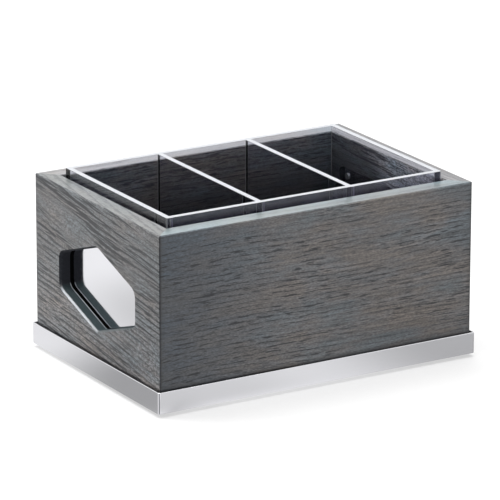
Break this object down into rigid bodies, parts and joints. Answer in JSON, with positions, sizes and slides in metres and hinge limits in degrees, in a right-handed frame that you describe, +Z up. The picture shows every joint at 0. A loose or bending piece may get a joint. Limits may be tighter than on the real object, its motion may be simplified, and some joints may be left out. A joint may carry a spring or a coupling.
{
  "type": "table utensil caddy",
  "caption": "Grey oak table caddy on a stainless base, with plate-backed hand holes and a clear divided bin that lifts out.",
  "frame": {"origin": "centre of the footprint, on the surface the feet stand on", "axes": "+Z up, -Y to the front long side, +X to the right seen from the front"},
  "size_m": [0.306, 0.214, 0.1597],
  "materials": {
    "grey_oak": "grey stained open-pored oak, satin lacquer",
    "grey_oak_floor": "dark grey stained oak, satin lacquer",
    "spline_plywood": "bare plywood, hidden",
    "black_seal": "matt black seal",
    "polished_plate": "mirror polished stainless steel",
    "stainless_base": "polished stainless steel sheet, faint brushing",
    "screw_steel": "plain steel",
    "black_board": "fibre board painted matt black",
    "foot_rubber": "matt black rubber",
    "clear_sheet": "clear sheet with polished edges"
  },
  "bodies": {
    "box": {"front_panel": "grey_oak", "back_panel": "grey_oak", "left_panel": "grey_oak", "right_panel": "grey_oak", "floor_panel": "grey_oak_floor", "spline_front_left": "spline_plywood", "spline_front_right": "spline_plywood", "spline_back_left": "spline_plywood", "spline_back_right": "spline_plywood", "left_seal": "black_seal", "right_seal": "black_seal", "left_plate": "polished_plate", "right_plate": "polished_plate", "left_plate_screw_1": "screw_steel", "left_plate_screw_2": "screw_steel", "left_plate_screw_3": "screw_steel", "left_plate_screw_4": "screw_steel", "right_plate_screw_1": "screw_steel", "right_plate_screw_2": "screw_steel", "right_plate_screw_3": "screw_steel", "right_plate_screw_4": "screw_steel", "base_tray": "stainless_base", "plinth_board": "black_board", "foot_front_left": "foot_rubber", "foot_front_right": "foot_rubber", "foot_back_left": "foot_rubber", "foot_back_right": "foot_rubber", "foot_screw_front_left": "screw_steel", "foot_screw_front_right": "screw_steel", "foot_screw_back_left": "screw_steel", "foot_screw_back_right": "screw_steel"},
    "bin": {"bin_front": "clear_sheet", "bin_back": "clear_sheet", "bin_left": "clear_sheet", "bin_right": "clear_sheet", "bin_floor": "clear_sheet", "divider_left": "clear_sheet", "divider_right": "clear_sheet"}
  },
  "joints": [
    {"name": "bin_lift", "type": "slide", "parent": "box", "child": "bin", "axis": [0, 0, 1], "range_m": [0, 0.138]}
  ]
}
